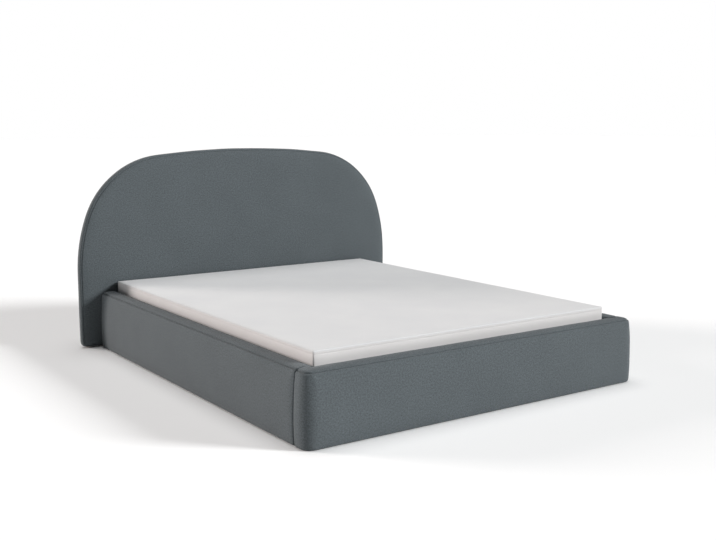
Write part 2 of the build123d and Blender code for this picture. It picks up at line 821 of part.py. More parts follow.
nodes = {f"right_{name}": solid for name, solid in right_pieces.items()}
nodes.update({f"left_{name}": to_left(solid) for name, solid in right_pieces.items()})
nodes.update({
    "headboard_board": board - headboard_holes,
    "headboard_cross_rails": cross_rails,
    "headboard_padding": headboard_padding() - headboard_holes,
    "headboard_back_cover": headboard_cover(),
    "foot_rail_inner_board": foot_inner - foot_holes,
    "foot_rail_outer_board": foot_outer,
    "foot_rail_blocks": foot_blocks,
    "foot_rail_padding": foot_padding() - foot_holes,
    "frame_screws": group(screws + [to_left(s) for s in screws] + end_screws),
    "headboard_bolts": group([bolt(p, (0, 1, 0), headboard_bolt_length) for p in headboard_bolt_places()]),
    "floor_battens": group([batten, to_left(batten)]),
    "floor_centre_beam": beam,
    "floor_glides": glides(),
    "foot_ledge": foot_ledge() - foot_holes,
    "rest_pads": pads(),
    "pivot_pins": group([pivot_pin(), to_left(pivot_pin())]),
    "lower_spring_studs": group([lower_stud(), to_left(lower_stud())]),
    "frame_head_tube": end_tube(mattress_head_y - tube_size),
    "frame_foot_tube": end_tube(mattress_foot_y),
    "frame_centre_tube": centre_tube(),
    "frame_cross_tubes": group([cross, to_left(cross)]),
    "tube_end_caps": group(caps + [to_left(c) for c in caps]),
    "outer_slat_holders": group(outer_holders + [to_left(h) for h in outer_holders]),
    "centre_slat_holders": group([centre_holder(y) for y in rows]),
    "arm_bolts": group(arm_bolts + [to_left(b) for b in arm_bolts]),
    "upper_spring_brackets": group([spring_bracket(), to_left(spring_bracket())]),
    "mattress": mattress(),
    "mattress_stops": group([mattress_stop(-1), mattress_stop(1)]),
    "pull_strap": pull_strap(),
})

os.makedirs("parts", exist_ok=True)
for name, solid in nodes.items():
    export_step(solid, f"parts/{name}.step")
print(len(nodes), "nodes")
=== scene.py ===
# %% [markdown]
# # Upholstered storage bed
# The bed has an arched padded headboard, two padded side rails that reach the floor, a padded foot rail with
# large rounded corners, and a pale mattress that lies between the rails on a slatted platform. The wooden and
# steel pieces come ready made, at their real size and place. Here they get their finishes, and the soft
# pieces are modelled as cloth over foam.

# %% Load the ready-made pieces
import json
import math

import bmesh
import bpy
import numpy as np
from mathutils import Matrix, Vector, noise


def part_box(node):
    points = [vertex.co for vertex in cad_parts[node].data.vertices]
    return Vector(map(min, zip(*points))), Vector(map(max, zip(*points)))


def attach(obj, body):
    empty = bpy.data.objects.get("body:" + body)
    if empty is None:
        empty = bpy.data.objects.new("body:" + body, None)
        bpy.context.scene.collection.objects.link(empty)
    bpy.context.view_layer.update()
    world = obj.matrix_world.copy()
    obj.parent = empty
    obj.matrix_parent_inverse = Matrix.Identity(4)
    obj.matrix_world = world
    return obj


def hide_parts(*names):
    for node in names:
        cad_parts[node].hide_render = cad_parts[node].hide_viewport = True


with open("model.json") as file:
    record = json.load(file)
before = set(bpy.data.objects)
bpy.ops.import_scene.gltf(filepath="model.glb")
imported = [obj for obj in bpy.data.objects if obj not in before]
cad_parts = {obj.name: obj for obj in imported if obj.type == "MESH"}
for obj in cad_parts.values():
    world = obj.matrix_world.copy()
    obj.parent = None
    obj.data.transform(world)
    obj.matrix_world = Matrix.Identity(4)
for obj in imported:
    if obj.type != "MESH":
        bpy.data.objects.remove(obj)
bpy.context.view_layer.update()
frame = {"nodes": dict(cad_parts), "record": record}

nodes = frame["nodes"]

# %% [markdown]
# ## Units and colours
# All lengths are in metres, and a length that is written in millimetres is multiplied by `mm`. Colours are
# chosen as sRGB hex values, as a paint chart or a photograph gives them, and a shader works in linear light,
# so one function converts them.

# %% Units and colours
mm = 0.001


def colour(chart):
    """The linear colour of an sRGB hex value."""
    parts = [int(chart[i:i + 2], 16) / 255 for i in (1, 3, 5)]
    linear = [p / 12.92 if p <= 0.04045 else ((p + 0.055) / 1.055) ** 2.4 for p in parts]
    return (*linear, 1.0)


print("slate cloth in linear light:", [round(c, 3) for c in colour("#69767b")[:3]])

# %% [markdown]
# ## Camera
# The photograph looks at the bed from the foot end's left, a little above the headboard's top. The camera's
# place is given from the middle of the mattress, because the mattress's four top corners fixed it.

# %% Camera
mattress_low, mattress_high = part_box("mattress")
camera_place = (-2738.1 * mm, -4108.74 * mm, 1214.5 * mm)
camera_down = 0.149757
camera_turn = -0.603738
focal_pixels = 990.563
photo_width = 716
film_width = 36

camera = bpy.data.objects.new("camera", bpy.data.cameras.new("camera"))
bpy.context.scene.collection.objects.link(camera)
camera.data.sensor_width = film_width
camera.data.sensor_fit = "HORIZONTAL"
camera.data.lens = film_width * focal_pixels / photo_width
mattress_middle = (mattress_low.y + mattress_high.y) / 2
camera.location = (camera_place[0], mattress_middle + camera_place[1], camera_place[2])
camera.rotation_euler = (math.pi / 2 - camera_down, 0, camera_turn)
bpy.context.scene.camera = camera
print("lens, mm:", round(camera.data.lens, 1))

# %% [markdown]
# ## White surround
# The photograph has a white surround. The camera sees the surround white here too, and to everything else it
# is dim, so that it doesn't wash out the shadows. The surround and the finishes are both made of nodes, and a
# node could be set up in a dozen lines each time. One small function does it instead: it makes the node, sets
# it, and links or fills its inputs. A node that is given as an input stands for its first output. A colour
# ramp also gets its stops there, as pairs of a place and an sRGB hex value.

# %% White surround
surround_light = 0.08


def fill(node, inputs):
    """Fills a node's inputs, each with a number, a colour, an output or another node's first output."""
    for name, value in inputs.items():
        if isinstance(value, bpy.types.Node):
            value = value.outputs[0]
        if isinstance(value, bpy.types.NodeSocket):
            node.id_data.links.new(value, node.inputs[name])
        else:
            node.inputs[name].default_value = value


def add(tree, kind, inputs=None, stops=(), **settings):
    """Adds one node with its settings, its inputs and, for a colour ramp, its stops."""
    node = tree.nodes.new("ShaderNode" + kind)
    for name, value in settings.items():
        setattr(node, name, value)
    fill(node, inputs or {})
    if stops:
        elements = node.color_ramp.elements
        while len(elements) < len(stops):
            elements.new(1.0)
        for element, (place, chart) in zip(elements, stops):
            element.position = place
            element.color = colour(chart)
    return node


world = bpy.data.worlds.new("studio")
bpy.context.scene.world = world
world.use_nodes = True
tree = world.node_tree
seen = add(tree, "Background", {"Color": (1, 1, 1, 1), "Strength": 1.0})
lit = add(tree, "Background", {"Color": (1, 1, 1, 1), "Strength": surround_light})
ray = add(tree, "LightPath")
both = add(tree, "MixShader", {0: ray.outputs["Is Camera Ray"], 1: lit, 2: seen})
fill(tree.nodes["World Output"], {"Surface": both})

print("surround's nodes:", len(tree.nodes))

# %% [markdown]
# ## Floor and studio light
# In the photograph the two long faces of the bed are about equally bright and the rounded corner between
# them is dark, so one wide soft light stands far off behind the bed's left side and the other opposite it,
# in front of the bed's right side. The left one is a little warmer. A third light overhead keeps the
# mattress's top the brightest face. Area lamps could do this, but the whole floor should be lit evenly, so
# they are sun lamps with a wide disc. Each has the direction in which it stands, the width of its disc in
# degrees, its strength and its tint.

# %% Floor and studio light
floor_size = 120
lights = {
    "left_behind": ((-1.0, 1.15, 0.34), 22, 2.7, (1.0, 0.93, 0.9)),
    "right_in_front": ((1.05, -1.0, 0.6), 14, 3.25, (0.985, 0.995, 1.0)),
    "overhead": ((0.05, 0.1, 1.0), 46, 1.42, (1.0, 1.0, 1.0)),
}
for name, (direction, disc, strength, tint) in lights.items():
    lamp = bpy.data.lights.new(name, "SUN")
    lamp.angle = math.radians(disc)
    lamp.energy = strength
    lamp.color = tint
    stand = bpy.data.objects.new(name, lamp)
    bpy.context.scene.collection.objects.link(stand)
    stand.rotation_euler = Vector(direction).to_track_quat("Z", "Y").to_euler()

floor_mesh = bpy.data.meshes.new("studio_floor")
reach = floor_size / 2
floor_mesh.from_pydata([(-reach, -reach, 0), (reach, -reach, 0), (reach, reach, 0), (-reach, reach, 0)], [],
                       [(0, 1, 2, 3)])
studio_floor = bpy.data.objects.new("studio_floor", floor_mesh)
bpy.context.scene.collection.objects.link(studio_floor)
bpy.context.scene.view_settings.view_transform = "Standard"
print("lights:", list(lights))

# %% [markdown]
# ## One start for every material
# Each finish starts from a Principled shader with the constants of the real material: how rough it is, how
# strongly it bends light and whether it is a metal. What varies over the surface is added by nodes, and those
# patterns are measured in millimetres on the object. All the cloths share one checked pattern, drawn as two
# waves across each other, since a picture of a weave would blur in a close view.

# %% Start of a material


def finish(name, chart, roughness, **constants):
    """A material, its node tree and its shader, with a base colour and constants set."""
    material = bpy.data.materials.new(name)
    material.use_nodes = True
    tree = material.node_tree
    shader = tree.nodes["Principled BSDF"]
    fill(shader, {"Base Color": colour(chart), "Roughness": roughness})
    fill(shader, {socket.replace("_", " "): value for socket, value in constants.items()})
    material.diffuse_color = colour(chart)
    return material, tree, shader


def crossed_waves(tree, place, spacing, turn=0.0):
    """A checked pattern from -1 to 1: two waves across each other, as threads, ribs and loops lie."""
    scaled = add(tree, "Mapping", {"Vector": place, "Rotation": (0, 0, turn),
                                   "Scale": [math.pi / spacing] * 3})
    axes = add(tree, "SeparateXYZ", {0: scaled})
    across = add(tree, "Math", {0: axes.outputs[0]}, operation="SINE")
    along = add(tree, "Math", {0: axes.outputs[1]}, operation="SINE")
    return add(tree, "Math", {0: across, 1: along}, operation="MULTIPLY")


floor_mesh.materials.append(finish("studio_floor_paint", "#fbfbfb", roughness=0.9)[0])
print("floor:", floor_mesh.materials[0].name)

# %% [markdown]
# ## Slate upholstery cloth
# The cover is a flat woven polyester cloth with a slightly hairy yarn. Its threads lie about 1 mm apart. That
# is finer than one pixel of the photograph, so they are drawn 2.2 mm apart, as coarse as they need to be to
# show in a close view. Warp and weft differ a little in tone, and the yarn is dyed unevenly, which gives the
# fine salt-and-pepper look from a step away. A little sheen stands for the hair of the yarn. The pattern
# follows the unrolled cloth, which each piece carries as a UV map in metres.

# %% Slate upholstery cloth
thread = 2.2 * mm
thread_relief = 0.35 * mm
mottle = 7 * mm
mottle_contrast = 0.22
cloud = 240 * mm
cloud_contrast = 0.04


def woven_cloth(name, warp, weft, gap_shade, spacing, relief, roughness, sheen):
    """A plain weave: one thread goes over where the product of two sines is positive, the other elsewhere."""
    material, tree, shader = finish(name, warp, roughness, Sheen_Weight=sheen, Sheen_Roughness=0.45,
                                    Specular_IOR_Level=0.25, IOR=1.5)
    place = add(tree, "UVMap", uv_map="cloth")
    over = crossed_waves(tree, place, spacing)
    half = add(tree, "Math", {0: over, 1: 0.5, 2: 0.5}, operation="MULTIPLY_ADD")
    # The gaps where the two waves cross zero get a darker third colour: painted shade between the threads.
    threads = add(tree, "ValToRGB", {"Fac": half}, stops=[(0.18, weft), (0.5, gap_shade), (0.82, warp)])
    yarn = add(tree, "TexNoise", {"Vector": place, "Scale": 1 / mottle, "Detail": 4.0, "Roughness": 0.75})
    nap = add(tree, "TexNoise", {"Vector": place, "Scale": 1 / cloud, "Detail": 2.0})
    spots = add(tree, "MapRange", {"Value": yarn, "From Min": 0.38, "From Max": 0.62,
                                   "To Min": 1 - mottle_contrast, "To Max": 1 + mottle_contrast})
    clouds = add(tree, "MapRange", {"Value": nap, "From Min": 0.3, "From Max": 0.7,
                                    "To Min": 1 - cloud_contrast, "To Max": 1 + cloud_contrast})
    tone = add(tree, "Math", {0: spots, 1: clouds}, operation="MULTIPLY")
    dyed = add(tree, "VectorMath", {0: threads, "Scale": tone}, operation="SCALE")
    height = add(tree, "Math", {0: over}, operation="ABSOLUTE")
    hair = add(tree, "Math", {0: yarn, 1: 0.5, 2: height}, operation="MULTIPLY_ADD")
    bump = add(tree, "Bump", {"Height": hair, "Strength": 0.55, "Distance": relief})
    fill(shader, {"Base Color": dyed, "Normal": bump})
    return material


# The third colour is painted shade in the gaps between the threads.
slate_cloth = woven_cloth("woven_polyester_slate", "#656c70", "#5a6165", "#414749", thread, thread_relief,
                          roughness=0.88, sheen=0.12)
print("threads to a metre:", round(1 / thread))

# %% [markdown]
# ## Mattress ticking
# The mattress has a pale knitted cover with fine ribs, and its loops make it soft and matt. Its colour has
# faint darker and lighter clouds: painted shade of the uneven foam under it. The border is a lighter and
# warmer copy of the same cloth: painted light that brightens the sides. Its real ribs are under a millimetre
# wide, so they too are drawn as coarse as they need to be to show.

# %% Mattress ticking
rib = 2.6 * mm
rib_relief = 0.2 * mm
ticking_shade_cloud = 300 * mm


def knitted_ticking(name, light, dark):
    """A fine knit: ribs along one direction, each broken into loops."""
    material, tree, shader = finish(name, light, roughness=0.82, Sheen_Weight=0.08,
                                    Sheen_Roughness=0.5, Specular_IOR_Level=0.3, IOR=1.5)
    place = add(tree, "UVMap", uv_map="cloth")
    # Slow noise moves the colour between the dark and the light tone: painted shade of the uneven foam under
    # the cloth.
    uneven = add(tree, "TexNoise", {"Vector": place, "Scale": 1 / ticking_shade_cloud, "Detail": 3.0,
                                    "Roughness": 0.55})
    tone = add(tree, "ValToRGB", {"Fac": uneven}, stops=[(0.3, dark), (0.7, light)])
    knit = crossed_waves(tree, place, rib)
    bump = add(tree, "Bump", {"Height": knit, "Strength": 0.4, "Distance": rib_relief})
    fill(shader, {"Base Color": tone, "Normal": bump})
    return material


top_ticking = knitted_ticking("knitted_ticking_top", "#d4d4d4", "#cfcfd0")
# The border is a lighter, warmer copy of the top's ticking: painted light that brightens the sides, which get
# less light.
border_ticking_brightened = knitted_ticking("knitted_ticking_border_brightened", "#dcdad9", "#d8d5d4")
print("ribs to a metre:", round(1 / rib))

# %% [markdown]
# ## Cloth under and behind
# Two cloths are never in the light: the thin spun-bonded dust cloth that closes the headboard's back, which
# shows the small diamonds that it is bonded in, and the strong polyester webbing of the pull strap.

# %% Dust cloth and webbing
fibre_clump = 3 * mm
bonded_diamond = 2.4 * mm
bonded_relief = 0.15 * mm
webbing_thread = 1.6 * mm
webbing_relief = 0.3 * mm


def spunbond(name, light, dark):
    """Bonded fibres: a fine noise, with a grid of small pressed diamonds."""
    material, tree, shader = finish(name, light, roughness=0.95, Specular_IOR_Level=0.2, IOR=1.5)
    place = add(tree, "UVMap", uv_map="cloth")
    fibre = add(tree, "TexNoise", {"Vector": place, "Scale": 1 / fibre_clump, "Detail": 6.0,
                                   "Roughness": 0.7})
    tone = add(tree, "ValToRGB", {"Fac": fibre}, stops=[(0.35, dark), (0.65, light)])
    grid = crossed_waves(tree, place, bonded_diamond, turn=math.pi / 4)
    bump = add(tree, "Bump", {"Height": grid, "Strength": 0.5, "Distance": bonded_relief})
    fill(shader, {"Base Color": tone, "Normal": bump})
    return material


dust_cloth = spunbond("spunbond_polypropylene_charcoal", "#3a3c3f", "#2e3033")
# The third colour is painted shade in the gaps between the threads.
webbing = woven_cloth("woven_polyester_webbing", "#3d4043", "#34373a", "#222426", webbing_thread,
                      webbing_relief, roughness=0.75, sheen=0.1)
print("cloths:", dust_cloth.name, webbing.name)

# %% [markdown]
# ## Wood and board
# The slats are beech, bent and glued from thin veneers. The blocks, studs and battens are pine, with wide
# rings. The headboard's face board is birch plywood, whose layers show at its edge. The inner boards of the
# rails are particle board, with chips of many tones, and the outer boards and the storage floor are
# hardboard, brown and matt. None of these pieces is unrolled, so their patterns use the place in the bed, and
# each has the size of its figure or chip, and how it is stretched along the grain.

# %% Wood and board
wood_relief = 0.3 * mm
glue_line_shade = 0.82


def grained_wood(name, light, dark, figure, stretch, roughness, layers=None):
    """Stretched noise as grain, with an optional stack of veneers that shows at the edges."""
    material, tree, shader = finish(name, light, roughness, Specular_IOR_Level=0.4, IOR=1.5)
    place = add(tree, "TexCoord").outputs["Object"]
    long_grain = add(tree, "Mapping", {"Vector": place, "Scale": [s / figure for s in stretch]})
    grain = add(tree, "TexNoise", {"Vector": long_grain, "Scale": 1.0, "Detail": 6.0, "Roughness": 0.6,
                                   "Distortion": 0.4})
    tint = add(tree, "ValToRGB", {"Fac": grain}, stops=[(0.35, dark), (0.62, light)])
    if layers:
        axes = add(tree, "SeparateXYZ", {0: place})
        turns = add(tree, "Math", {0: axes.outputs[layers[0]], 1: math.pi / layers[1]}, operation="MULTIPLY")
        veneer = add(tree, "Math", {0: turns}, operation="SINE")
        shade = add(tree, "MapRange", {"Value": veneer, "From Min": -1.0, "To Min": glue_line_shade})
        tint = add(tree, "VectorMath", {0: tint, "Scale": shade}, operation="SCALE")
    bump = add(tree, "Bump", {"Height": grain, "Strength": 0.25, "Distance": wood_relief})
    fill(shader, {"Base Color": tint, "Normal": bump})
    return material


def chip_board(name, tones, chip, roughness):
    """Pressed chips: each cell of a Voronoi pattern has its own tone."""
    material, tree, shader = finish(name, tones[-1], roughness, Specular_IOR_Level=0.35, IOR=1.5)
    place = add(tree, "TexCoord").outputs["Object"]
    cells = add(tree, "TexVoronoi", {"Vector": place, "Scale": 1 / chip, "Randomness": 1.0})
    tone = add(tree, "SeparateColor", {0: cells.outputs["Color"]})
    chips = add(tree, "ValToRGB", {"Fac": tone},
                stops=[(i / (len(tones) - 1), chart) for i, chart in enumerate(tones)])
    bump = add(tree, "Bump", {"Height": cells, "Strength": 0.2, "Distance": wood_relief})
    fill(shader, {"Base Color": chips, "Normal": bump})
    return material


beech = grained_wood("laminated_beech_lacquered", "#dcbf94", "#c8a476", figure=6 * mm, stretch=(0.06, 1, 1),
                     roughness=0.42, layers=(2, 1.3 * mm))
pine = grained_wood("sawn_pine", "#e0c391", "#c79f63", figure=9 * mm, stretch=(1, 0.08, 0.3), roughness=0.62)
plywood = grained_wood("birch_plywood", "#dcc6a0", "#cbb083", figure=14 * mm, stretch=(0.08, 1, 1),
                       roughness=0.55, layers=(1, 1.5 * mm))
particle_board = chip_board("particle_board", ["#8f7350", "#b59468", "#c9ad80", "#d8c29a"], chip=5 * mm,
                            roughness=0.7)
hardboard = chip_board("hardboard", ["#6d4d31", "#75543a", "#7b5a3d"], chip=1.6 * mm, roughness=0.85)
print("woods and boards:", [m.name for m in (beech, pine, plywood, particle_board, hardboard)])

# %% [markdown]
# ## Steel, plastic and rubber
# The tubes are powder coated: a baked resin with a fine orange-peel skin. Brackets, hinge plates and screws
# are zinc-plated steel, cool and slightly cloudy. The gas springs have a gloss black cylinder and a
# hard-chromed rod. Slat holders are moulded nylon with a fine matte grain, the glides are polypropylene, and
# the pads are rubber.

# %% Steel, plastic and rubber
patch_size = 30 * mm


def skinned(name, chart, roughness, grit, relief, spread=0.05, **constants):
    """A coated, plated or moulded skin, with its grit and relief in millimetres and a little uneven gloss."""
    material, tree, shader = finish(name, chart, roughness, **constants)
    place = add(tree, "TexCoord").outputs["Object"]
    grain = add(tree, "TexNoise", {"Vector": place, "Scale": 1 / (grit * mm), "Detail": 3.0})
    patch = add(tree, "TexNoise", {"Vector": place, "Scale": 1 / patch_size, "Detail": 3.0})
    worn = add(tree, "MapRange", {"Value": patch, "From Min": 0.3, "From Max": 0.7,
                                  "To Min": roughness - spread, "To Max": roughness + spread})
    bump = add(tree, "Bump", {"Height": grain, "Strength": 0.3, "Distance": relief * mm})
    fill(shader, {"Roughness": worn, "Normal": bump})
    return material


powder_coat = skinned("powder_coated_steel", "#8b9092", roughness=0.48, grit=1.2, relief=0.06, IOR=1.5)
zinc_steel = skinned("zinc_plated_steel", "#bfc4c8", roughness=0.34, grit=4, relief=0.03, spread=0.1,
                     Metallic=1.0)
spring_paint = skinned("gloss_black_enamel", "#16181a", roughness=0.16, grit=3, relief=0.02, spread=0.03,
                       IOR=1.5, Coat_Weight=0.4)
polished_rod = skinned("hard_chromed_steel", "#d8dadc", roughness=0.07, grit=1.5, relief=0.005, spread=0.02,
                       Metallic=1.0)
rubber = skinned("black_rubber", "#232323", roughness=0.82, grit=0.9, relief=0.08, IOR=1.52)
nylon = skinned("moulded_nylon_grey", "#4a4d50", roughness=0.55, grit=0.8, relief=0.05, IOR=1.53)
polypropylene = skinned("moulded_polypropylene", "#2b2d2f", roughness=0.4, grit=1.0, relief=0.03, IOR=1.49)

slot_finishes = {
    "cover_cloth": slate_cloth, "mattress_ticking": top_ticking, "back_cloth": dust_cloth,
    "strap_webbing": webbing, "plywood": plywood, "pine": pine, "particle_board": particle_board,
    "hardboard": hardboard, "slat_beech": beech, "powder_coat": powder_coat, "zinc_steel": zinc_steel,
    "spring_paint": spring_paint, "polished_rod": polished_rod, "rubber_pad": rubber,
    "holder_plastic": nylon, "glide_plastic": polypropylene,
}
for entry in frame["record"]["subparts"]:
    for place in nodes[entry["node"]].material_slots:
        place.material = slot_finishes[entry["material_slot"]]

# %% [markdown]
# ## How a padded piece is made
# Upholstery is foam with cloth pulled over it and held at seams, corners and staples. So each soft piece is
# built as a net of quads that follows its shape, with fine rows at the seams. Then a cloth simulation with a
# little pressure blows the free panels out while the held points stay, and the movement is capped at a few
# millimetres, as tight foam caps it. Slow noise then makes the surface a little uneven, and one subdivision
# rounds it. A sculpted mesh could look the same, but this way the softness follows from the pressure.

# %% A piece from points and faces


def build(name, points, faces, unrolled, finishes, finish_of=None):
    """A piece from points and faces, with its unrolled cloth as a UV map in metres."""
    mesh = bpy.data.meshes.new(name)
    mesh.from_pydata([tuple(p) for p in points], [], faces)
    layer = mesh.uv_layers.new(name="cloth")
    layer.data.foreach_set("uv", [c for face in unrolled for place in face for c in place])
    mesh.polygons.foreach_set("use_smooth", [True] * len(faces))
    for material in finishes:
        mesh.materials.append(material)
    if finish_of:
        mesh.polygons.foreach_set("material_index", finish_of)
    tidy = bmesh.new()
    tidy.from_mesh(mesh)
    bmesh.ops.recalc_face_normals(tidy, faces=tidy.faces)
    tidy.to_mesh(mesh)
    tidy.free()
    piece = bpy.data.objects.new(name, mesh)
    bpy.context.scene.collection.objects.link(piece)
    return piece


def places_of(piece):
    """The piece's points as an array."""
    places = np.empty(len(piece.data.vertices) * 3)
    piece.data.vertices.foreach_get("co", places)
    return places.reshape(-1, 3)


def move_to(piece, places):
    """Moves the piece's points to the places given."""
    piece.data.vertices.foreach_set("co", places.ravel())
    piece.data.update()


print("cushions to make:", [name for name in nodes if name.endswith("_padding")], "and the mattress")

# %% [markdown]
# ## Nets made of rings
# A cushion is a closed form with a skin round it. So its net is made of rings of points with quads between
# them: round the section for the rails, and round the outline for the headboard and the mattress, with a ring
# wherever a seam or an edge needs one. The same rings give the unrolled cloth: one axis is the way round the
# ring and the other the way from ring to ring, both measured on the piece. A remesh would need no rings, but
# its quads wouldn't follow the seams.

# %% Nets made of rings


def run_of(line):
    """The distance along a line from its first point to each of its points."""
    return [0.0] + list(np.cumsum([math.dist(p, q) for p, q in zip(line, line[1:])]))


def ring_quads(ring_count, size):
    """Quads between neighbouring rings of points, ring by ring."""
    return [(i * size + j, i * size + (j + 1) % size, (i + 1) * size + (j + 1) % size, (i + 1) * size + j)
            for i in range(ring_count - 1) for j in range(size)]


def ring_cloth(along, round_run):
    """The unrolled cloth of those quads, as places (round the ring, along the rings)."""
    return [((r0, a0), (r1, a0), (r1, a1), (r0, a1))
            for a0, a1 in zip(along, along[1:]) for r0, r1 in zip(round_run, round_run[1:])]


print("quads between two rings of four points:", ring_quads(2, 4))

# %% [markdown]
# ## Softness
# Each cushion is blown out for a few frames and then frozen, because a piece moves with its body in one form.
# Which points stay and how far the others may move is said for each cushion.

# %% Softness
sim_frames = 20
air_pressure = 4.0
cloth_stiffness = 12.0
uneven_step = 90 * mm


def puff(piece, held, cap):
    """Blows the free panels out with a cloth simulation. No point moves further than the cap."""
    scene = bpy.context.scene
    before = places_of(piece)
    group = piece.vertex_groups.new(name="held")
    group.add([int(i) for i in held], 1.0, "REPLACE")
    cloth = piece.modifiers.new("cloth", "CLOTH")
    cloth.settings.quality = 4
    cloth.settings.tension_stiffness = cloth_stiffness
    cloth.settings.compression_stiffness = cloth_stiffness
    cloth.settings.shear_stiffness = cloth_stiffness / 3
    cloth.settings.bending_stiffness = 1.0
    cloth.settings.vertex_group_mass = "held"
    cloth.settings.use_pressure = True
    cloth.settings.uniform_pressure_force = air_pressure
    cloth.settings.effector_weights.gravity = 0
    cloth.collision_settings.use_collision = False
    cloth.point_cache.frame_start = 1
    cloth.point_cache.frame_end = sim_frames
    for step in range(1, sim_frames + 1):
        scene.frame_set(step)
    blown = piece.evaluated_get(bpy.context.evaluated_depsgraph_get())
    after = np.empty(len(before) * 3)
    blown.data.vertices.foreach_get("co", after)
    moved = after.reshape(-1, 3) - before
    length = np.linalg.norm(moved, axis=1, keepdims=True) + 1e-9
    capped = cap * np.tanh(length / cap)
    piece.modifiers.remove(cloth)
    scene.frame_set(1)
    move_to(piece, before + moved / length * capped)
    print(piece.name, "blown out by up to", round(float(capped.max()) / mm, 1), "mm")


def make_uneven(piece, amount, step, seed, free):
    """Moves points along their normals by slow noise, each as far as it is free."""
    places = places_of(piece)
    normals = np.array([v.normal for v in piece.data.vertices])
    shift = np.array([noise.noise(Vector(p) / step + Vector((seed, 0, 0))) for p in places]) * amount
    move_to(piece, places + normals * (shift * free)[:, None])


def round_off(piece):
    """Adds one subdivision, which rounds the net."""
    modifier = piece.modifiers.new("subdivision", "SUBSURF")
    modifier.levels = modifier.render_levels = 1


def wear(piece, body, slot, *replaced, fill=None):
    """Ties a piece to its body and hides the ready-made pieces that it stands for. The slot is not used."""
    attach(piece, body)
    if replaced:
        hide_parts(*replaced)


print("frames in each cloth simulation:", sim_frames, "step of the unevenness, mm:", round(uneven_step / mm))

# %% [markdown]
# ## Section of the rails
# The two sides and the foot share one section. Its top is slightly crowned, the outer edge is round, and the
# face bellies out a little and comes in again towards the floor. Where the top panel and the face panel are
# sewn together, the seam pulls the foam in, so the round edge has a narrow valley with soft lips. A bevelled
# box would be quicker, but only a drawn section gives the belly and the valley their real shape.

# %% Section of the rails
rail_low, rail_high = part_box("right_rail_padding")
rail_depth = rail_high.x - rail_low.x
rail_bottom = 0.5 * mm
rail_top = rail_high.z
swell = 3 * mm
crown = 4 * mm
crown_share = 0.9
belly_height = 110 * mm
tuck = 4 * mm
top_radius = 25 * mm
bottom_radius = 10 * mm
inner_radius = 7 * mm
inner_turns = (157, 135, 112)
inner_lift = 4 * mm
seam_angle = 48
edge_turns = (82, 75, 69, 64, 60, 57, 54.5, 52, 50, 48, 46, 44, 41.5, 39, 36, 32, 27, 21, 14, 7)
hem_turns = (-25, -50, -75)
seam_depth = 5.0 * mm
seam_lip = 3.0 * mm
seam_reach = 6 * mm
inner_rows = 12
crown_rows = 9
face_rows = 25
under_rows = 7


def arc(centre_x, centre_z, radius, degrees):
    """Points on an arc, at the angles given."""
    return [(centre_x + radius * math.cos(math.radians(a)), centre_z + radius * math.sin(math.radians(a)))
            for a in degrees]


def valley(turn, radius, depth):
    """How deep a seam draws in a round edge, at an angle from the seam."""
    return depth * math.exp(-(math.radians(turn) * radius / seam_lip) ** 2)


def face_reach(height):
    """How far out the bellied face stands at a height."""
    radius = ((belly_height - rail_bottom) ** 2 + tuck ** 2) / (2 * tuck)
    return rail_depth - swell - radius + math.sqrt(radius ** 2 - (height - belly_height) ** 2)


def rail_section():
    """Points round the section as (distance out, height), and each point's part of the section."""
    crown_base = rail_top - crown
    arc_z = rail_top - crown / 2 - top_radius
    arc_x = face_reach(arc_z) - top_radius
    points = [(0, z) for z in np.linspace(rail_bottom + inner_lift, crown_base - inner_radius, inner_rows)]
    points += arc(inner_radius, crown_base - inner_radius, inner_radius, inner_turns)
    inner_count = len(points)
    for share in np.linspace(0, 1, crown_rows):
        x = inner_radius + (arc_x - inner_radius) * share
        points.append((x, crown_base + crown * (1 - (2 * x / (arc_x + inner_radius) - 1) ** 2) * crown_share))
    seam_start = len(points)
    for turn in edge_turns:
        points += arc(arc_x, arc_z, top_radius - valley(turn - seam_angle, top_radius, seam_depth), (turn,))
    face_start = len(points)
    points += [(face_reach(z), z) for z in np.linspace(arc_z, rail_bottom + bottom_radius, face_rows)]
    hem_start = len(points) - 1
    points += arc(face_reach(rail_bottom + bottom_radius) - bottom_radius, rail_bottom + bottom_radius,
                  bottom_radius, hem_turns)
    under_start = len(points)
    points += [(x, rail_bottom)
               for x in np.linspace(face_reach(rail_bottom) - bottom_radius, inner_lift, under_rows)]
    part = ["inner"] * inner_count + ["crown"] * (face_start - inner_count)
    part += ["face"] * (hem_start - face_start) + ["hem"] * (under_start - hem_start)
    part += ["under"] * (len(points) - under_start)
    seam = arc(arc_x, arc_z, top_radius, (seam_angle,))[0]
    for i in range(seam_start, face_start):
        if math.dist(points[i], seam) < seam_reach:
            part[i] = "seam"
    return points, part


section, section_part = rail_section()
section_round = run_of(section + section[:1])
print("points round the section:", len(section), "length round it, mm:", round(section_round[-1] / mm))

# %% [markdown]
# ## Ends and seams of a rail
# At its ends a rail's cushion turns in, so its rings lie close together there. The inner face is stapled to
# the board, the hem is pulled under it and the seam is a taut thread, so those points stay while the top and
# the face puff. Small puckers then cross the seam, where each stitch draws the two panels together. They
# could be a bump in the finish, but real relief also catches the light from the side.

# %% Ends and seams of a rail
ring_step = 10 * mm
end_shares = (0, 0.03, 0.12, 0.27, 0.47, 0.72, 1)
pucker = 0.5 * mm
pucker_step = 13 * mm
still_rings = 3


def turned_in(distance, radius):
    """How far an edge with that radius has turned in, at a distance from its end."""
    if distance >= radius:
        return 0.0
    return radius - math.sqrt(radius ** 2 - (radius - distance) ** 2)


def end_steps(length, fine):
    """Places along a run: close together at both ends, even between."""
    near = [fine * share for share in end_shares]
    count = round((length - 2 * fine) / ring_step)
    middle = list(np.linspace(fine, length - fine, count + 1))[1:-1]
    return near + middle + [length - place for place in reversed(near)]


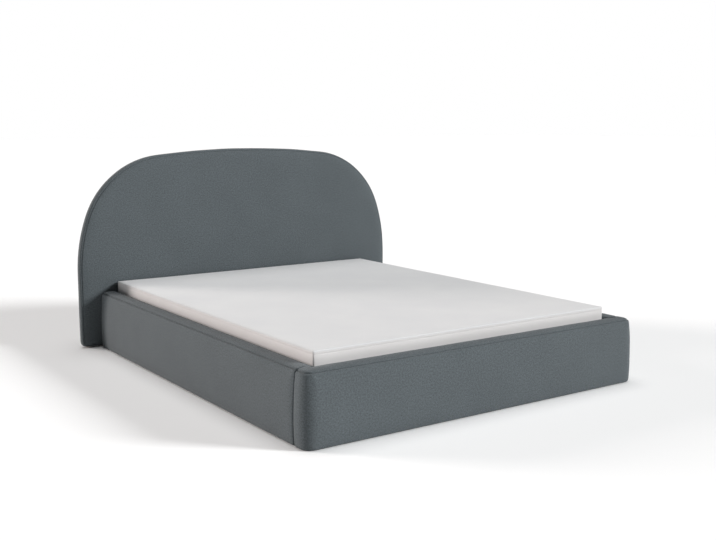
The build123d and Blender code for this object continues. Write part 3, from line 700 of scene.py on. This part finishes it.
def sweep(name, rings, along):
    """A closed skin over rings of points, with a flat cap at each end."""
    count = len(rings[0])
    points = [p for ring in rings for p in ring]
    faces = ring_quads(len(rings), count)
    unrolled = [tuple((a, r) for r, a in quad) for quad in ring_cloth(along, section_round)]
    for ring in (0, len(rings) - 1):
        faces.append(tuple(range(ring * count, (ring + 1) * count)))
        unrolled.append(tuple(section))
    return build(name, points, faces, unrolled, [slate_cloth])


def held_points(ring_count):
    """The points that stay: the inner face, the hem and underside, the seam and the ends."""
    count = len(section)
    held = []
    for i in range(ring_count):
        for j, part in enumerate(section_part):
            if part not in ("crown", "face") or i < still_rings or i >= ring_count - still_rings:
                held.append(i * count + j)
    return held


def gather(piece, along, seed):
    """Small puckers across the seam, where the thread draws the two panels together."""
    places = places_of(piece)
    normals = np.array([v.normal for v in piece.data.vertices])
    seam = [s for s, part in zip(section_round, section_part) if part == "seam"]
    middle = (seam[0] + seam[-1]) / 2
    near = [math.exp(-((s - middle) / (2 * seam_reach)) ** 2) for s in section_round[:-1]]
    wave = [noise.noise(Vector((a / pucker_step, seed, 0))) for a in along]
    move_to(piece, places + normals * (np.outer(wave, near).ravel() * pucker)[:, None])


free_round = np.array([part in ("crown", "face") for part in section_part], float)
print("points of a ring that may puff:", int(free_round.sum()), "of", len(section))

# %% [markdown]
# ## Side rails
# The section runs along the bed in about two hundred rings. At the head end the rail is rounded in plan and
# at the top, where it meets the headboard, and at the foot end both its edges turn in to make one half of the
# upright joint with the foot rail. The left rail is the right one mirrored, with its own unevenness.

# %% Side rails
joint_gap = 4.8 * mm
side_joint_radius = 16 * mm
joint_top_radius = 3 * mm
head_radius = 38 * mm
head_top_radius = 24 * mm
cushion_unevenness = 0.9 * mm
foam_fill = 0.9
right_seed = 3.1
left_seed = 8.7

rail_run = end_steps(rail_high.y - rail_low.y, head_radius)
rail_rings = []
for place in rail_run:
    from_head = rail_high.y - rail_low.y - place
    side = turned_in(place, side_joint_radius) + turned_in(from_head, head_radius)
    over = turned_in(place, joint_top_radius) + turned_in(from_head, head_top_radius)
    narrow = (rail_depth - side) / rail_depth
    lower = (rail_top - rail_bottom - over) / (rail_top - rail_bottom)
    along = rail_low.y + max(place, joint_gap)
    rail_rings.append([(rail_low.x + d * narrow, along, rail_bottom + (z - rail_bottom) * lower)
                       for d, z in section])

right_rail = sweep("right_rail_upholstery", rail_rings, rail_run)
puff(right_rail, held_points(len(rail_rings)), swell)
left_rail = right_rail.copy()
left_rail.data = right_rail.data.copy()
left_rail.name = left_rail.data.name = "left_rail_upholstery"
bpy.context.scene.collection.objects.link(left_rail)
move_to(left_rail, places_of(left_rail) * np.array([-1, 1, 1]))
left_rail.data.flip_normals()

for piece, node, seed in ((right_rail, "right_rail_padding", right_seed),
                          (left_rail, "left_rail_padding", left_seed)):
    make_uneven(piece, cushion_unevenness, uneven_step, seed, np.tile(free_round, len(rail_rings)))
    gather(piece, rail_run, seed)
    round_off(piece)
    wear(piece, "base", "cover_cloth", node, fill=foam_fill)
print("rings along a side rail:", len(rail_rings))

# %% [markdown]
# ## Foot rail
# The foot rail is one long cushion that turns two corners with a radius of 54 mm and ends at the joints with
# the side rails. A plain sweep can't turn so tight a corner, so each ring joins a point on the outside of the
# plan to a point on the inner face, and the section is laid between them. At the corners the rings fan out.

# %% Foot rail
foot_low, foot_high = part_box("foot_rail_padding")
foot_joint_radius = 6 * mm
corner_radius = 54 * mm
corner_turns = 12
leg_shares = (0, 0.04, 0.15, 0.32, 0.6, 1)
leg_lean = 0.3
inner_corner_share = 0.25
foot_seed = 5.3


def foot_plan():
    """Pairs of (outer point, inner point) in plan, from the right-hand joint round to the middle."""
    out_x, out_y = foot_high.x, foot_low.y
    joint_y = foot_high.y
    leg = joint_y - (out_y + corner_radius)
    pairs = []
    for share in leg_shares:
        pairs.append(((out_x, joint_y - leg * share), (rail_low.x - leg * share * leg_lean, joint_y)))
    start = pairs[-1][1][0]
    centre = (out_x - corner_radius, out_y + corner_radius)
    stop = centre[0] - inner_corner_share * corner_radius
    for i in range(1, corner_turns + 1):
        turn = math.radians(90 * i / corner_turns)
        inner_x = start + (stop - start) * i / corner_turns
        outer = (centre[0] + corner_radius * math.cos(turn), centre[1] - corner_radius * math.sin(turn))
        pairs.append((outer, (inner_x, joint_y)))
    count = round(centre[0] / ring_step)
    for i in range(1, count + 1):
        share = i / count
        pairs.append(((centre[0] * (1 - share), out_y), (stop * (1 - share), joint_y)))
    return pairs


half_plan = foot_plan()
whole_plan = half_plan + [((-o[0], o[1]), (-i[0], i[1])) for o, i in reversed(half_plan[:-1])]
foot_rings = []
for outer, inner in whole_plan:
    reach = math.dist(outer, inner)
    turn_in = turned_in(foot_high.y - outer[1], foot_joint_radius)
    drop = turned_in(foot_high.y - outer[1], joint_top_radius)
    lower = (rail_top - rail_bottom - drop) / (rail_top - rail_bottom)
    ring = []
    for d, z in section:
        if d > rail_depth / 2:
            share = min((rail_depth - d) / reach, 1)
        else:
            share = 1 - d / rail_depth * (2 - rail_depth / reach)
        share += turn_in / reach * d / rail_depth
        ring.append((outer[0] + (inner[0] - outer[0]) * share, outer[1] + (inner[1] - outer[1]) * share,
                     rail_bottom + (z - rail_bottom) * lower))
    foot_rings.append(ring)

foot_run = run_of([outer for outer, inner in whole_plan])
foot_rail = sweep("foot_rail_upholstery", foot_rings, foot_run)
puff(foot_rail, held_points(len(foot_rings)), swell)
make_uneven(foot_rail, cushion_unevenness, uneven_step, foot_seed, np.tile(free_round, len(foot_rings)))
gather(foot_rail, foot_run, foot_seed)
round_off(foot_rail)
wear(foot_rail, "base", "cover_cloth", "foot_rail_padding", fill=foam_fill)
print("rings round the foot rail:", len(foot_rings))

# %% [markdown]
# ## Headboard
# The headboard is an arch: straight sides, a gentle arc, a tighter shoulder and an almost flat crown. Its
# cover is a front panel sewn to an edge band, which goes round to the back and is stapled there, so a thin
# seam runs round the front edge, and the foam thins a little towards it. A filled outline would leave long
# thin faces that can't puff, so the front is a net of quads stretched between the four stretches of the
# outline, and rings carry it round the edge.

# %% Outline of the headboard
board_low, board_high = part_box("headboard_padding")
side_arc_radius = 900 * mm
side_arc_turn = 19.5
shoulder_radius = 498 * mm
crown_radius = 5000 * mm
foot_radius = 24 * mm
across_count = 84
up_count = 44
straight_points = 60
arc_points = 60
side_arc_points = 30
side_points = 20
foot_arc_points = 16


def arch_half():
    """The right half of the outline, from the floor's middle to the top, as rows of x, z and normal."""
    half = board_high.x
    bottom, top = board_low.z, board_high.z
    turn = math.radians(side_arc_turn)
    side_x = half - side_arc_radius
    shoulder_x = side_x + (side_arc_radius - shoulder_radius) * math.cos(turn)
    reach = crown_radius - shoulder_radius
    shoulder_z = top - crown_radius + math.sqrt(reach ** 2 - shoulder_x ** 2)
    side_z = shoulder_z - (side_arc_radius - shoulder_radius) * math.sin(turn)
    crown_turn = math.acos(shoulder_x / reach)
    rows = [(x, bottom, 0, -1) for x in np.linspace(0, half - foot_radius, straight_points)]

    def on_arc(x, z, radius, start, end, count):
        return [(x + radius * math.cos(a), z + radius * math.sin(a), math.cos(a), math.sin(a))
                for a in np.linspace(start, end, count)]

    rows += on_arc(half - foot_radius, bottom + foot_radius, foot_radius, -math.pi / 2, 0,
                   foot_arc_points)
    rows += [(half, z, 1, 0) for z in np.linspace(bottom + foot_radius, side_z, side_points)[1:]]
    rows += on_arc(side_x, side_z, side_arc_radius, 0, turn, side_arc_points)[1:]
    rows += on_arc(shoulder_x, shoulder_z, shoulder_radius, turn, crown_turn, arc_points)[1:]
    rows += on_arc(0, top - crown_radius, crown_radius, crown_turn, math.pi / 2, arc_points)[1:]
    return np.array(rows)


def stretch(rows, start, end, count):
    """Evenly spaced rows along a stretch of the outline."""
    piece = rows[start:end + 1]
    run = run_of(piece[:, :2])
    at = np.linspace(0, run[-1], count + 1)
    even = np.array([np.interp(at, run, piece[:, c]) for c in range(4)]).T
    even[:, 2:] /= np.linalg.norm(even[:, 2:], axis=1, keepdims=True)
    return even


def mirrored(rows):
    """The same rows on the other half of the arch."""
    return rows[::-1] * np.array([-1, 1, -1, 1])


half_arch = arch_half()
low_corner = int(np.argmin(np.abs(half_arch[:, 2] + half_arch[:, 3]) + (half_arch[:, 2] < 0.5)))
shoulder = int(np.argmin(np.abs(half_arch[:, 2] - half_arch[:, 3]) + (half_arch[:, 3] < 0.5)))
right_side = stretch(half_arch, low_corner, shoulder, up_count)
half_bottom = stretch(half_arch, 0, low_corner, across_count // 2)
half_top = stretch(half_arch, shoulder, len(half_arch) - 1, across_count // 2)
bottom_edge = np.vstack([mirrored(half_bottom), half_bottom[1:]])
top_edge = np.vstack([half_top, mirrored(half_top)[1:]])
loop = np.vstack([bottom_edge[:-1], right_side[:-1], top_edge[:-1], mirrored(right_side)[:-1]])
print("points round the headboard:", len(loop))

# %% [markdown]
# ## Net of the headboard
# The net's inner points are blended from the four stretches of a ring: each point takes its share of the
# bottom and the top, and of the left and the right. So its lines flow with the arch.

# %% Net of the headboard


def ring_at(inset):
    """The outline drawn in by a margin."""
    return loop[:, :2] - loop[:, 2:] * inset


def net(ring):
    """Inner points of a net stretched between the four stretches of a ring, row by row from the bottom."""
    a, b = across_count, up_count
    bottom = ring[:a + 1]
    right = ring[a:a + b + 1]
    top = ring[a + b:2 * a + b + 1][::-1]
    left = np.vstack([ring[2 * a + b:], ring[:1]])[::-1]
    rows = []
    for j in range(1, b):
        v = j / b
        for i in range(1, a):
            u = i / a
            across = (1 - v) * bottom[i] + v * top[i]
            up = (1 - u) * left[j] + u * right[j]
            corners = ((1 - u) * (1 - v) * bottom[0] + u * (1 - v) * bottom[a]
                       + (1 - u) * v * top[0] + u * v * top[a])
            rows.append(across + up - corners)
    return np.array(rows)


def net_faces(ring_start, inner_start):
    """Quads of the net, whose outer points are a ring and whose inner points follow."""
    a, b = across_count, up_count
    total = 2 * (a + b)

    def index(i, j):
        if j == 0:
            return ring_start + i
        if i == a:
            return ring_start + a + j
        if j == b:
            return ring_start + 2 * a + b - i
        if i == 0:
            return ring_start + (total - j) % total
        return inner_start + (j - 1) * (a - 1) + i - 1

    return [(index(i, j), index(i + 1, j), index(i + 1, j + 1), index(i, j + 1))
            for j in range(b) for i in range(a)]


print("points inside the net:", (across_count - 1) * (up_count - 1))

# %% [markdown]
# ## Cushion of the headboard
# The profile runs from the front over the edge seam to the back, and each of its points becomes a ring. The
# front and the back are then closed with nets. The rings from the seam outwards are held while the front
# puffs, so the headboard keeps its outline.

# %% Cushion of the headboard
front_y = board_low.y
back_y = board_high.y
edge_radius = 26 * mm
back_radius = 24 * mm
band_turns = (0, 9, 17, 24, 28, 31, 34, 36, 38, 41, 44, 48, 54, 60, 67, 74, 82, 90)
band_seam_angle = 36
band_seam_depth = 5.5 * mm
pillow_depth = 3 * mm
pillow_reach = 32 * mm
board_unevenness = 1.4 * mm
board_uneven_step = 160 * mm
board_seed = 11.9
back_share = 0.7
back_rings = 7
rows_to_seam = 3
profile = []
for turn in band_turns:
    radius = edge_radius - valley(turn - band_seam_angle, edge_radius, band_seam_depth)
    thinner = pillow_depth * max(1 - turn / band_seam_angle, 0)
    a = math.radians(turn)
    y = front_y + thinner + edge_radius - radius * math.cos(a)
    profile.append((edge_radius - radius * math.sin(a), y))
profile += [(back_radius * (1 - math.cos(a)), back_y - back_radius * (1 - math.sin(a)))
            for a in np.radians(np.linspace(0, 90, back_rings))]

points = []
flat_places = []
for (inset, y), run in zip(profile, run_of(profile)):
    for (x, z), row in zip(ring_at(inset), loop):
        points.append((x, y, z))
        out = run + inset - profile[0][0]
        flat_places.append((x + row[2] * out, z + row[3] * out))
ring_size = len(loop)
faces = ring_quads(len(profile), ring_size)
last_ring = (len(profile) - 1) * ring_size
for ring_start, inset, y, thinner in ((0, profile[0][0], front_y, pillow_depth),
                                      (last_ring, profile[-1][0], back_y, 0)):
    faces += net_faces(ring_start, len(points))
    for x, z in net(ring_at(inset)):
        from_edge = np.linalg.norm(loop[:, :2] - (x, z), axis=1).min() - edge_radius
        points.append((x, y + thinner * math.exp(-max(from_edge, 0) / pillow_reach), z))
        flat_places.append((x, z))
headboard = build("headboard_upholstery", points, faces, [[flat_places[i] for i in face] for face in faces],
                  [slate_cloth])
behind = places_of(headboard)[:, 1] > back_y - back_radius * back_share
row_of = np.arange(len(points)) // ring_size
stays = behind | (row_of >= band_turns.index(band_seam_angle) - rows_to_seam) & (row_of < len(profile))
puff(headboard, np.nonzero(stays)[0], swell)
make_uneven(headboard, board_unevenness, board_uneven_step, board_seed, (~behind).astype(float))
round_off(headboard)
wear(headboard, "base", "cover_cloth", "headboard_padding", fill=foam_fill)
print("headboard points:", len(points))

# %% [markdown]
# ## Back of the headboard
# The back is closed with a thin dust cloth. Its edge is folded under and stapled every 45 mm. The cloth could
# be simulated, but it is a flat sheet that is pulled tight, so one surface with a slight slackness does.

# %% Dust cloth and staples
cloth_low, cloth_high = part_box("headboard_back_cover")
cloth_inset = board_high.x - cloth_high.x
slack = 0.6 * mm
slack_step = 70 * mm
slack_seed = 4.2
staple_inset = 9 * mm
staple_pitch = 45 * mm
staple_length = 11 * mm
staple_wire = 1.1 * mm
staple_section = ((-1, 0), (-0.7, 0.8), (0.7, 0.8), (1, 0))
staple_sides = ((0, 1), (1, 2), (2, 3), (3, 0))
staple_sunk = 0.4
look_ahead = 5 * mm

sheet_y = cloth_high.y - slack
points = [(x, sheet_y, z) for x, z in ring_at(cloth_inset)]
for x, z in net(ring_at(cloth_inset)):
    points.append((x, sheet_y + slack * noise.noise(Vector((x, z, slack_seed)) / slack_step), z))
faces = net_faces(0, ring_size)
dust_sheet = build("headboard_dust_cloth", points, faces,
                   [[(points[i][0], points[i][2]) for i in face] for face in faces], [dust_cloth])
round_off(dust_sheet)
wear(dust_sheet, "base", "back_cloth", "headboard_back_cover")

line = ring_at(cloth_inset + staple_inset)
line = np.vstack([line, line[:1]])
line_run = run_of(line)


def on_line(at):
    """The place on the line of staples at a distance along it."""
    return Vector((np.interp(at, line_run, line[:, 0]), 0, np.interp(at, line_run, line[:, 1])))


staple_count = int(line_run[-1] / staple_pitch)
points = []
faces = []
for i in range(staple_count):
    at = (i + 0.5) * line_run[-1] / staple_count
    along = (on_line(min(at + look_ahead, line_run[-1])) - on_line(at)).normalized()
    side = Vector((along.z, 0, -along.x))
    middle = on_line(at) + Vector((0, cloth_high.y - staple_wire * staple_sunk, 0))
    start = len(points)
    for end in (-1, 1):
        for width, lift in staple_section:
            points.append(middle + along * end * staple_length / 2 + side * width * staple_wire / 2
                          + Vector((0, lift * staple_wire, 0)))
    faces += [(start + a, start + b, start + b + 4, start + a + 4) for a, b in staple_sides]
    faces += [tuple(range(start, start + 4)), tuple(range(start + 4, start + 8))]
staples = build("headboard_back_staples", points, faces, [[(0, 0)] * len(f) for f in faces], [zinc_steel])
wear(staples, "base", "zinc_steel")

# %% [markdown]
# ## Mattress
# The mattress is a thin block of foam in a knitted cover with crisp edges. The top panel is sewn to the
# border 15 mm below the top edge, and a second seam runs as far above the bottom. The net goes round the
# block in rings. The two panels are even grids, because faces that span the whole panel wouldn't puff.

# %% Mattress
plan_radius = 5 * mm
corner_degrees = (0, 30, 60, 90)
top_edge_radius = 6 * mm
seam_drop = 15 * mm
seam_steps = ((4, 0.1), (2, 0.3), (0.9, 0.5), (0, 0.9), (-0.9, 0.5), (-2, 0.3), (-4, 0.1))
border_rows = 11
long_count = 80
wide_count = 64
panel_margin = 30 * mm
mattress_swell = 1.5 * mm
mattress_unevenness = 1.2 * mm
mattress_uneven_step = 260 * mm
mattress_seed = 21.5
mattress_fill = 0.95
still_height = 20 * mm


def rounded_plan():
    """A rectangle with small round corners, as rows of x, y and outward normal, with even counts a side."""
    low, high = mattress_low, mattress_high
    r = plan_radius
    corners = (((high.x - r, low.y + r), -90), ((high.x - r, high.y - r), 0),
               ((low.x + r, high.y - r), 90), ((low.x + r, low.y + r), 180))
    turned = [[(x + r * math.cos(a), y + r * math.sin(a), math.cos(a), math.sin(a))
               for a in (math.radians(start + turn) for turn in corner_degrees)] for (x, y), start in corners]
    rows = []
    for i, corner in enumerate(turned):
        after = turned[(i + 1) % len(turned)][0]
        count = wide_count if i % 2 else long_count
        rows += corner
        rows += [tuple(p + (q - p) * share for p, q in zip(corner[-1], after))
                 for share in np.linspace(0, 1, count + 1)[1:-1]]
    return np.array(rows)


def seam_rings(height):
    """Rings across a seam, where the cloth dips to the thread, as (inset, height, kind)."""
    return [(depth * mm, height + offset * mm, "border" if offset else "seam")
            for offset, depth in seam_steps]


plan = rounded_plan()
base_z, top_z = mattress_low.z, mattress_high.z
seam_high, seam_low = top_z - seam_drop, base_z + seam_drop
edge = [(top_edge_radius * (1 - math.cos(a)), top_edge_radius * (1 - math.sin(a)))
        for a in (math.radians(turn) for turn in corner_degrees)]
rings = [(inset, top_z - drop, "edge") for inset, drop in reversed(edge)]
rings += seam_rings(seam_high)
rings += [(0.0, z, "border") for z in np.linspace(seam_high, seam_low, border_rows)[1:-1]]
rings += seam_rings(seam_low)
rings += [(inset, base_z + drop, "edge") for inset, drop in edge]
print("mattress, mm:", [round(s / mm) for s in mattress_high - mattress_low], "rings:", len(rings))

# %% [markdown]
# ## Panels of the mattress
# Each panel is a grid that ends a little inside the edge, and a band of triangles joins it to the first or
# last ring, since the two have different numbers of points.

# %% Panels of the mattress
count = len(plan)
points = [(x - nx * inset, y - ny * inset, z) for inset, z, kind in rings for x, y, nx, ny in plan]
faces = ring_quads(len(rings), count)
unrolled = ring_cloth([z for inset, z, kind in rings], run_of(np.vstack([plan, plan[:1]])[:, :2]))
border_faces = len(faces)


def add_face(*corners):
    """Adds a face of a panel, and its unrolled cloth, which is the face seen from above."""
    faces.append(corners)
    unrolled.append(tuple(points[corner][:2] for corner in corners))


def panel(z):
    """A flat grid across the mattress. Returns its outermost points as a loop."""
    start = len(points)
    xs = np.linspace(mattress_low.x + panel_margin, mattress_high.x - panel_margin, wide_count - 1)
    ys = np.linspace(mattress_low.y + panel_margin, mattress_high.y - panel_margin, long_count - 1)
    points.extend((x, y, z) for y in ys for x in xs)
    across, up = len(xs), len(ys)
    for a in (start + j * across + i for j in range(up - 1) for i in range(across - 1)):
        add_face(a, a + 1, a + across + 1, a + across)
    right = [start + j * across + across - 1 for j in range(up)]
    top = [start + (up - 1) * across + i for i in range(across - 2, -1, -1)]
    left = [start + j * across for j in range(up - 2, -1, -1)]
    return right + top + left + [start + i for i in range(1, across - 1)]


def join_loops(inner, outer):
    """Fills the band between two closed loops with triangles, nearest points first."""
    first = min(range(len(outer)), key=lambda k: math.dist(points[outer[k]], points[inner[0]]))
    outer = outer[first:] + outer[:first]
    i = j = 0
    while i < len(inner) or j < len(outer):
        a, b = inner[i % len(inner)], outer[j % len(outer)]
        a2, b2 = inner[(i + 1) % len(inner)], outer[(j + 1) % len(outer)]
        nearer = math.dist(points[a2], points[b]) < math.dist(points[a], points[b2])
        if j >= len(outer) or (i < len(inner) and nearer):
            add_face(a, b, a2)
            i += 1
        else:
            add_face(a, b, b2)
            j += 1


for ring, z in ((0, top_z), (len(rings) - 1, base_z)):
    join_loops(panel(z), list(range(ring * count, (ring + 1) * count)))
edge_faces = (len(edge) - 1) * count
# The border faces take the lighter copy of the ticking, painted light for the sides; the edge rings and the
# panels take the top's.
finish_of = [0] * edge_faces + [1] * (border_faces - edge_faces) + [0] * (len(faces) - border_faces)
mattress = build("mattress_foam_and_cover", points, faces, unrolled, [top_ticking, border_ticking_brightened], finish_of)
held = [i * count + j for i, ring in enumerate(rings) if ring[2] != "border" for j in range(count)]
held += [i for i, p in enumerate(points) if p[2] == base_z]
puff(mattress, held, mattress_swell)
lifted = np.array([p[2] > base_z + still_height for p in points], float)
make_uneven(mattress, mattress_unevenness, mattress_uneven_step, mattress_seed, lifted)
round_off(mattress)
wear(mattress, "platform", "mattress_ticking", "mattress", fill=mattress_fill)
print("mattress points:", len(points))

# %% [markdown]
# ## Pull strap
# A doubled strap of webbing, sewn into a loop, hangs on the foot tube of the platform. A hand pulls on it to
# lift the mattress. Webbing is stiff and flat, so it is modelled directly as a band along a looped path.

# %% Pull strap
strap_low, strap_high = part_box("pull_strap")
strap_middle_x = (strap_low.x + strap_high.x) / 2
strap_middle_y = (strap_low.y + strap_high.y) / 2
strap_half = (strap_high.x - strap_low.x) / 2
layer = 1.3 * mm
half_gap = (strap_high.y - strap_low.y) / 2 - layer / 2
loop_radius = 5 * mm
loop_height = 2.2 * loop_radius
loop_turns = (200, 165, 130, 90, 50, 15, -20)
leg_points = 18
band_section = [(-1, 0), (-0.96, 0.5), (-0.5, 0.5), (0, 0.5), (0.5, 0.5), (0.96, 0.5), (1, 0), (0.96, -0.5),
                (0.5, -0.5), (0, -0.5), (-0.5, -0.5), (-0.96, -0.5)]

leg = list(np.linspace(strap_low.z, strap_high.z - loop_height, leg_points))
path = [(strap_middle_y - half_gap, z) for z in leg]
path += arc(strap_middle_y, strap_high.z - loop_radius - layer / 2, loop_radius, loop_turns)
path += [(strap_middle_y + half_gap, z) for z in reversed(leg)]
path_run = run_of(path)
points = []
for i, (y, z) in enumerate(path):
    before = path[max(i - 1, 0)]
    after = path[min(i + 1, len(path) - 1)]
    run = Vector((after[0] - before[0], after[1] - before[1])).normalized()
    for x, thick in band_section:
        points.append((strap_middle_x + x * strap_half, y - run.y * thick * layer, z + run.x * thick * layer))
size = len(band_section)
faces = ring_quads(len(path), size)
unrolled = ring_cloth(path_run, [x * strap_half for x, thick in band_section + band_section[:1]])
for ring in (0, len(path) - 1):
    faces.append(tuple(range(ring * size, (ring + 1) * size)))
    unrolled.append([(0, 0)] * size)
strap = build("pull_strap_webbing", points, faces, unrolled, [webbing])
wear(strap, "platform", "strap_webbing", "pull_strap")
print("strap length along its path, mm:", round(path_run[-1] / mm))
